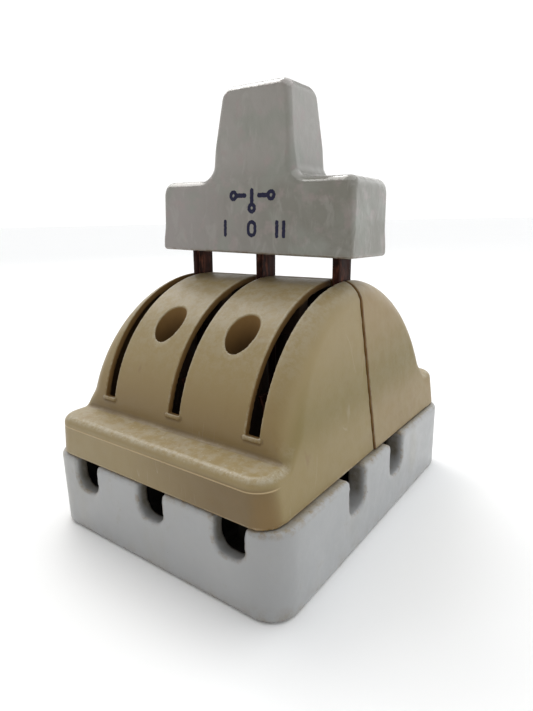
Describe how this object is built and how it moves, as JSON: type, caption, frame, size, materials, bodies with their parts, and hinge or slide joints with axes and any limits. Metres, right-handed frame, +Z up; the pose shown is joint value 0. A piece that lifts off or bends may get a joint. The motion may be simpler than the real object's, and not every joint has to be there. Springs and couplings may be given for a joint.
{
  "type": "double-throw knife switch",
  "caption": "Double-throw knife switch with a porcelain base, domed moulded half covers with blade slots, copper blades and a porcelain T handle.",
  "frame": {"origin": "bottom centre of the porcelain base", "axes": "+Z up along the upright handle, +X along the row of poles, -Y towards the front throw"},
  "size_m": [0.095, 0.119, 0.1429],
  "materials": {
    "base_porcelain": "matt-glazed grey-white porcelain",
    "handle_porcelain": "glossy warm grey glazed porcelain",
    "cover_moulding": "semi-matt tan moulding",
    "contact_copper": "oxidised copper",
    "terminal_brass": "dull brass",
    "screw_steel": "dull zinc-plated steel",
    "cement": "rough grey cement"
  },
  "bodies": {
    "base": {"porcelain_base": "base_porcelain", "cover_front": "cover_moulding", "cover_rear": "cover_moulding", "cover_screw_front_1": "screw_steel", "cover_nut_front_1": "screw_steel", "cover_screw_front_2": "screw_steel", "cover_nut_front_2": "screw_steel", "cover_screw_rear_1": "screw_steel", "cover_nut_rear_1": "screw_steel", "cover_screw_rear_2": "screw_steel", "cover_nut_rear_2": "screw_steel", "jaw_front_left": "contact_copper", "jaw_screw_front_left": "screw_steel", "terminal_screw_front_left": "terminal_brass", "jaw_front_middle": "contact_copper", "jaw_screw_front_middle": "screw_steel", "terminal_screw_front_middle": "terminal_brass", "jaw_front_right": "contact_copper", "jaw_screw_front_right": "screw_steel", "terminal_screw_front_right": "terminal_brass", "jaw_rear_left": "contact_copper", "jaw_screw_rear_left": "screw_steel", "terminal_screw_rear_left": "terminal_brass", "jaw_rear_middle": "contact_copper", "jaw_screw_rear_middle": "screw_steel", "terminal_screw_rear_middle": "terminal_brass", "jaw_rear_right": "contact_copper", "jaw_screw_rear_right": "screw_steel", "terminal_screw_rear_right": "terminal_brass", "hinge_clip_left": "contact_copper", "hinge_screw_left": "screw_steel", "common_screw_left": "terminal_brass", "pivot_bolt_left": "screw_steel", "pivot_nut_left": "screw_steel", "hinge_clip_middle": "contact_copper", "hinge_screw_middle": "screw_steel", "common_screw_middle": "terminal_brass", "pivot_bolt_middle": "screw_steel", "pivot_nut_middle": "screw_steel", "hinge_clip_right": "contact_copper", "hinge_screw_right": "screw_steel", "common_screw_right": "terminal_brass", "pivot_bolt_right": "screw_steel", "pivot_nut_right": "screw_steel"},
    "handle": {"blade_left": "contact_copper", "blade_middle": "contact_copper", "blade_right": "contact_copper", "handle": "handle_porcelain", "blade_cement_left": "cement", "blade_cement_middle": "cement", "blade_cement_right": "cement"}
  },
  "joints": [
    {"name": "handle_throw", "type": "hinge", "parent": "base", "child": "handle", "pos_m": [0.0008, 0, 0.0338], "axis": [1, 0, 0], "range_deg": [-67.7, 70.3]}
  ]
}
